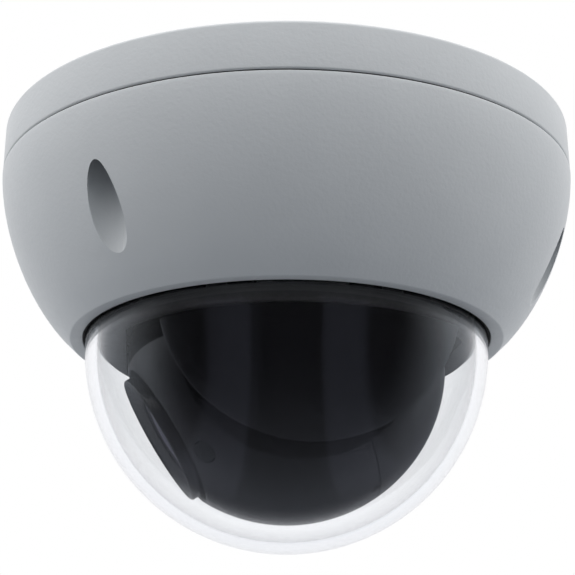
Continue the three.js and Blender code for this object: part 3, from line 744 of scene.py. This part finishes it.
def make_cheek(side, label, material):
    """A hollow cap of a sphere, turned about the tilt direction, with a rounded rim beside the ball."""
    rim = math.degrees(math.asin(CHEEK_INNER / CHEEK_R))
    rim_in = math.degrees(math.asin(CHEEK_INNER / (CHEEK_R - CHEEK_WALL)))
    outer = arc(CHEEK_R, 90, rim, 40)
    inner = arc(CHEEK_R - CHEEK_WALL, rim_in, 90, 40)
    corners = [(*outer[-4], 0), (*outer[-1], 0.8), (*inner[0], 0.25), (*inner[3], 0)]
    outline = [(0, CHEEK_R), *outer[1:-4], *fillet(corners, 6), *inner[4:-1], (0, CHEEK_R - CHEEK_WALL)]
    cap = moved(lathe(outline, 256), Matrix.Rotation(-side * math.pi / 2, 4, "X"))
    below = cuboid((-FAR, -FAR, -90), (FAR, FAR, DECK_TOP - 0.4))
    mesh = common(at(cap, CHEEK_SHIFT, 0, CHEEK_CENTRE), below)
    piece = finish_mesh(f"deck_cheek_{label}", moved(mesh, TURRET))
    place(piece, "turret", "gloss_black", material, "turret_cover")


def window_turn():
    """Turns the +Z direction to the small window's place on the ball."""
    return WINDOW_DIRECTION.to_track_quat("Z", "Y").to_matrix().to_4x4()


def ball_outline(front):
    """Half section of the front or the rear cap about the lens axis."""
    inner = BALL_R - BALL_WALL
    edge = PARTING + (PARTING_GAP if front else -PARTING_GAP)
    start = math.degrees(math.asin(edge / BALL_R))
    start_in = math.degrees(math.asin(edge / inner))
    if not front:
        outside = arc(BALL_R, start, -90, 64)
        inside = arc(inner, -90, start_in, 64)
        return [(0, -BALL_R), *outside[-2::-1], *inside[:0:-1], (0, -inner)]
    outside = arc(BALL_R, start, math.degrees(math.acos(LENS_HOLE / BALL_R)), 48)
    inside = arc(inner, math.degrees(math.acos(LENS_HOLE / inner)), start_in, 48)
    lip = fillet([(*outside[-3], 0), (*outside[-1], 0.4), (*inside[0], 0.2), (*inside[2], 0)])
    return [*outside[:-3], *lip, *inside[3:]]


def ball_side_wall(side, front):
    """The flat wall that closes a cap beside a cheek."""
    section = [(0, BALL_WALL_INSIDE), (BALL_R, BALL_WALL_INSIDE), (BALL_R, BALL_HALF), (0, BALL_HALF)]
    disc = moved(lathe(section, 192), Matrix.Rotation(-side * math.pi / 2, 4, "X"))
    solid = lathe([(0, -BALL_R), *arc(BALL_R, -90, 90, 96)[1:-1], (0, BALL_R)], 192)
    if front:
        half = cuboid((PARTING + PARTING_GAP, -FAR, -FAR), (FAR, FAR, FAR))
    else:
        half = cuboid((-FAR, -FAR, -FAR), (PARTING - PARTING_GAP, FAR, FAR))
    return common(common(disc, solid), half)


def make_ball(material):
    for front in (True, False):
        label = "front" if front else "rear"
        slab = cuboid((-FAR, -BALL_HALF, -FAR), (FAR, BALL_HALF, FAR))
        shell = common(moved(lathe(ball_outline(front), 256), Z_TO_X), slab)
        walls = [ball_side_wall(side, front) for side in (-1, 1)]
        tools = [moved(rod(TRUNNION_HOLE, -40, 40, 64), Z_TO_Y)]
        if front:
            tools.append(moved(rod(WINDOW_R + 0.25, 20, 40, 64), window_turn()))
            tools.append(cuboid(*CLIP_NOTCH))
        mesh = cut(join(shell, *walls), *tools)
        piece = finish_mesh(f"ball_{label}_cap", moved(mesh, BALL))
        soften(piece, 0.12, 50.0)
        place(piece, "head", "gloss_black", material, f"ball_{label}_shell")


def make_bezel(material):
    dish = BEZEL_FRONT - 1.5
    outline = fillet([
        (BEZEL_INNER, BEZEL_BACK, 0), (BEZEL_SKIRT_INNER, BEZEL_BACK, 0),
        (BEZEL_SKIRT_INNER, BEZEL_SKIRT, 0.1), (BEZEL_R, BEZEL_SKIRT, 0.1), (BEZEL_R, BEZEL_FRONT, 0.45),
        (BEZEL_R - 0.7, BEZEL_FRONT, 0.2), (BEZEL_R - 1.1, BEZEL_FRONT - 0.5, 0.2),
        (BEZEL_INNER + 0.7, dish, 0.3), (BEZEL_INNER, dish - 0.2, 0.1), (BEZEL_INNER, BEZEL_BACK, 0)])[:-1]
    piece = finish_mesh("lens_bezel_ring", moved(lathe(outline, 192), BALL @ Z_TO_X))
    place(piece, "head", "gloss_black", material, "lens_bezel")


def make_front_glass(material):
    rise = 81.57                 # where the curved face meets the rim, in degrees
    face = arc(GLASS_CURVE, rise, 90, 12, GLASS_FRONT - GLASS_CURVE)[:-1]
    pane = [(0, GLASS_BACK), (GLASS_R, GLASS_BACK), *face, (0, GLASS_FRONT)]
    piece = finish_mesh("front_glass_pane", moved(lathe(pane, 128), BALL @ Z_TO_X))
    place(piece, "head", "lens_glass", material, "front_glass")


def make_barrel(material):
    outline = fillet([
        (BARREL_INNER, BARREL_BACK, 0), (BARREL_R, BARREL_BACK, 0.3), (BARREL_R, BARREL_FRONT, 0.3),
        (BARREL_INNER, BARREL_FRONT, 0.3), (BARREL_INNER, BARREL_BACK, 0)])[:-1]
    piece = finish_mesh("lens_barrel_tube", moved(lathe(outline, 128), BALL @ Z_TO_X))
    place(piece, "head", "satin_black", material, "lens_barrel")


def make_sensor_window(material):
    back = BALL_R - BALL_WALL
    face = BALL_R - 0.06
    rise = math.degrees(math.acos(WINDOW_R / face))
    outline = [(0, back), (WINDOW_R, back), *arc(face, rise, 90, 8)[:-1], (0, face)]
    piece = finish_mesh("sensor_window_pane", moved(lathe(outline, 64), BALL @ window_turn()))
    place(piece, "head", "lens_glass", material, "sensor_window")


# ------------------------------------------------------------------ light and surroundings
# Radiance by height, as (sine of the elevation, red, green, blue), for one side of the studio each.
# The SOFT pair lights matt surfaces. The GLOSS skies are what polished black and the inside of the dome
# reflect, and RIM_BACK stands behind the part for what is reflected without passing through the dome.
SOFT_FRONT = (
    (-1.0, 0.14, 0.15, 0.17), (-0.3, 0.085, 0.09, 0.10), (0.20, 0.085, 0.09, 0.10),
    (0.42, 1.14, 1.18, 1.22), (0.80, 1.88, 1.90, 1.94), (1.0, 1.92, 1.94, 1.96))
SOFT_BACK = (
    (-1.0, 0.42, 0.45, 0.49), (-0.5, 0.60, 0.63, 0.67), (-0.25, 0.80, 0.82, 0.85),
    (0.0, 1.05, 1.05, 1.05), (0.26, 1.20, 1.20, 1.20), (0.5, 1.58, 1.58, 1.58),
    (0.8, 1.84, 1.84, 1.84), (1.0, 1.88, 1.88, 1.88))
SOFT_TURN = (-0.75, -0.10)       # where one sky gives way to the next, as the direction's Y
GLOSS_FRONT = (
    (-1.0, 0.070, 0.073, 0.085), (-0.6, 0.022, 0.023, 0.027), (-0.3, 0.014, 0.014, 0.017),
    (0.50, 0.020, 0.020, 0.021), (0.85, 1.0, 1.0, 1.0))
GLOSS_SIDE = (
    (-1.0, 0.13, 0.14, 0.16), (-0.5, 0.19, 0.20, 0.23), (-0.3, 0.27, 0.29, 0.32),
    (-0.12, 0.36, 0.39, 0.43), (0.0, 0.42, 0.45, 0.49), (0.3, 0.58, 0.61, 0.65),
    (0.7, 1.0, 1.0, 1.0), (1.0, 1.0, 1.0, 1.0))
GLOSS_BACK = (
    (-1.0, 0.08, 0.085, 0.10), (-0.5, 0.085, 0.09, 0.105), (-0.3, 0.13, 0.135, 0.15),
    (-0.12, 0.11, 0.115, 0.13), (0.0, 0.10, 0.105, 0.12), (0.3, 0.18, 0.18, 0.19),
    (0.7, 1.0, 1.0, 1.0), (1.0, 1.0, 1.0, 1.0))
SIDE_TURN = (-0.45, 0.40)
BACK_TURN = (0.35, 0.80)
RIM_BACK = ((-1.0, 0.80, 0.81, 0.85), (-0.2, 0.95, 0.96, 0.99), (0.3, 1.0, 1.0, 1.02))
RIM_TURN = (0.42, 0.78)
LOOK_THROUGH = 1.12              # white seen straight through the dome
DOME_PASSES = 3.5                # surfaces of glass crossed before a reflection counts as inside
SKY_GAIN = 2.0
PANEL_EDGES = (0.31, 0.36, 0.66, 0.74)
PANEL_TOP = (0.24, 0.28)
PANEL_DEPTH = (0.2, 0.5)
PANEL_COLOR = (0.052, 0.055, 0.072)
SURROUND_R = 4.0                 # metres
FLOOR_HALF = 6.0
FLOOR_Z = -0.95


def sky_ramp(tree, stops, height):
    ramp = tree.nodes.new("ShaderNodeValToRGB")
    elements = ramp.color_ramp.elements
    while len(elements) < len(stops):
        elements.new(0.5)
    for element, (level, *color) in zip(elements, stops):
        element.position = (level + 1) / 2
        element.color = (*[c / SKY_GAIN for c in color], 1)
    tree.links.new(height, ramp.inputs["Fac"])
    return ramp.outputs["Color"]


def sky(tree, direction, front, back, turn):
    """Colour of a front and a back sky, blended by the direction's Y. Also returns height and direction."""
    split = tree.nodes.new("ShaderNodeSeparateXYZ")
    tree.links.new(direction, split.inputs[0])
    height = map_range(tree, split.outputs["Z"], -1.0, 1.0, 0.0, 1.0)
    blend = map_range(tree, split.outputs["Y"], *turn, 0.0, 1.0, True)
    color = mix_colors(tree, blend, sky_ramp(tree, front, height), sky_ramp(tree, back, height))
    return color, height, split.outputs


def make_world():
    """White to the camera. For matt surfaces: bright above and behind, dim toward the front and below."""
    world = bpy.data.worlds.new("studio")
    world.use_nodes = True
    bpy.context.scene.world = world
    world.cycles_visibility.glossy = False
    world.cycles_visibility.transmission = False
    tree = world.node_tree
    tree.nodes.clear()
    output = tree.nodes.new("ShaderNodeOutputWorld")
    mix = tree.nodes.new("ShaderNodeMixShader")
    rays = tree.nodes.new("ShaderNodeLightPath")
    plain = tree.nodes.new("ShaderNodeBackground")
    plain.inputs["Color"].default_value = (1, 1, 1, 1)
    shaded = tree.nodes.new("ShaderNodeBackground")
    shaded.inputs["Strength"].default_value = SKY_GAIN
    coordinates = tree.nodes.new("ShaderNodeTexCoord")
    color, _, _ = sky(tree, coordinates.outputs["Generated"], SOFT_FRONT, SOFT_BACK, SOFT_TURN)
    tree.links.new(color, shaded.inputs["Color"])
    tree.links.new(rays.outputs["Is Camera Ray"], mix.inputs["Fac"])
    tree.links.new(shaded.outputs[0], mix.inputs[1])
    tree.links.new(plain.outputs[0], mix.inputs[2])
    tree.links.new(mix.outputs[0], output.inputs["Surface"])


def panel_mask(tree, direction):
    """Two tall panels, left and right of the front, as a factor."""
    side = math_node(tree, "ABSOLUTE", direction["X"])
    inner, inner_full, outer_full, outer = PANEL_EDGES
    mask = math_node(
        tree, "MULTIPLY",
        map_range(tree, side, inner, inner_full, 0.0, 1.0, True),
        map_range(tree, side, outer_full, outer, 1.0, 0.0, True))
    for axis, fade in (("Z", PANEL_TOP), ("Y", PANEL_DEPTH)):
        mask = math_node(tree, "MULTIPLY", mask, map_range(tree, direction[axis], *fade, 1.0, 0.0, True))
    return mask


def surround_material():
    """White where the dome is looked through. A dark sky to reflections that came through the dome, and
    one with a light back to the others, both with the two panels."""
    material = bpy.data.materials.new("surround")
    material.use_nodes = True
    tree = material.node_tree
    tree.nodes.clear()
    output = tree.nodes.new("ShaderNodeOutputMaterial")
    emission = tree.nodes.new("ShaderNodeEmission")
    emission.inputs["Strength"].default_value = SKY_GAIN
    coordinates = tree.nodes.new("ShaderNodeTexCoord")
    unit = tree.nodes.new("ShaderNodeVectorMath")
    unit.operation = "NORMALIZE"
    tree.links.new(coordinates.outputs["Object"], unit.inputs[0])
    ahead, height, direction = sky(tree, unit.outputs[0], GLOSS_FRONT, GLOSS_SIDE, SIDE_TURN)
    behind = map_range(tree, direction["Y"], *BACK_TURN, 0.0, 1.0, True)
    inside = mix_colors(tree, behind, ahead, sky_ramp(tree, GLOSS_BACK, height))
    rim = map_range(tree, direction["Y"], *RIM_TURN, 0.0, 1.0, True)
    outside = mix_colors(tree, rim, ahead, sky_ramp(tree, RIM_BACK, height))
    rays = tree.nodes.new("ShaderNodeLightPath")
    entered = math_node(tree, "GREATER_THAN", rays.outputs["Transmission Depth"], DOME_PASSES)
    gloss = mix_colors(tree, entered, outside, inside)
    panel_color = tuple(c / SKY_GAIN for c in PANEL_COLOR)
    gloss = mix_colors(tree, panel_mask(tree, direction), gloss, panel_color, "ADD")
    mirrored = math_node(tree, "GREATER_THAN", rays.outputs["Glossy Depth"], 0.5)
    white = (LOOK_THROUGH / SKY_GAIN,) * 3
    tree.links.new(mix_colors(tree, mirrored, white, gloss), emission.inputs["Color"])
    tree.links.new(emission.outputs[0], output.inputs["Surface"])
    return material


def make_surround():
    """A large sphere that only gloss and glass see."""
    mesh = bpy.data.meshes.new("surround")
    bm = bmesh.new()
    bmesh.ops.create_icosphere(bm, subdivisions=4, radius=SURROUND_R)
    bm.to_mesh(mesh)
    bm.free()
    surround = bpy.data.objects.new("surround", mesh)
    bpy.context.scene.collection.objects.link(surround)
    surround.visible_camera = False
    surround.visible_diffuse = False
    surround.visible_shadow = False
    surround.data.materials.append(surround_material())


def make_floor():
    mesh = bpy.data.meshes.new("floor")
    bm = bmesh.new()
    bmesh.ops.create_grid(bm, x_segments=8, y_segments=8, size=FLOOR_HALF)
    bm.to_mesh(mesh)
    bm.free()
    floor = bpy.data.objects.new("floor", mesh)
    bpy.context.scene.collection.objects.link(floor)
    floor.location.z = FLOOR_Z
    s = Shader("floor", (0.58, 0.58, 0.58), 0.8)
    s.bump(s.noise(4.0), 0.02, 0.001)
    floor.data.materials.append(s.material)
    floor.visible_glossy = False
    floor.visible_diffuse = False
    floor.visible_transmission = False


# ------------------------------------------------------------------ inner pieces that keep their CAD shape
def finish_inner(materials):
    for node in frame["nodes"].values():
        subparts = frame["record"]["subparts"]
        slot_name = next(part["material_slot"] for part in subparts if part["node"] == node.name)
        node.data.materials.clear()
        node.data.materials.append(materials[slot_name])


def main():
    make_camera()
    coat = powder_coat()
    gloss = gloss_black()
    steel = brushed("steel", (0.50, 0.51, 0.52), 0.38, 0.5)
    screw_steel = brushed("screw_steel", (0.34, 0.35, 0.36), 0.3)
    rubber_black = rubber()
    satin = satin_black()
    glass = coated_glass("lens_glass", (0.006, 0.008, 0.016), (0.85, 0.8, 1.0))
    materials = {
        "powder_coat": coat, "rubber": rubber_black, "steel": steel, "screw_steel": screw_steel,
        "clear_dome": clear_dome(), "satin_black": satin, "gloss_black": gloss,
        "brass": brushed("brass", (0.62, 0.43, 0.16), 0.3),
        "nylon": moulded("nylon", (0.72, 0.70, 0.64), 0.45),
        "board": circuit_board(),
        "chip_black": moulded("chip_black", (0.016, 0.016, 0.018), 0.5),
        "lens_glass": glass,
        "red_filter": coated_glass("red_filter", (0.22, 0.01, 0.02), (1.0, 0.8, 0.8)),
    }
    finish_inner(materials)
    make_base(coat)
    make_trim(coat)
    make_plate(steel)
    make_gland(rubber_black)
    make_seal(rubber_black)
    make_gasket(rubber_black)
    make_clamp(satin)
    make_dome(materials["clear_dome"])
    make_cover_screws(screw_steel)
    make_deck(deck_black(), gloss)
    make_ball(gloss)
    make_bezel(gloss)
    make_front_glass(glass)
    make_barrel(satin)
    make_sensor_window(window_glass())
    make_world()
    make_surround()
    make_floor()
    scene = bpy.context.scene
    scene.view_settings.view_transform = "Standard"
    scene.view_settings.look = "None"


main()
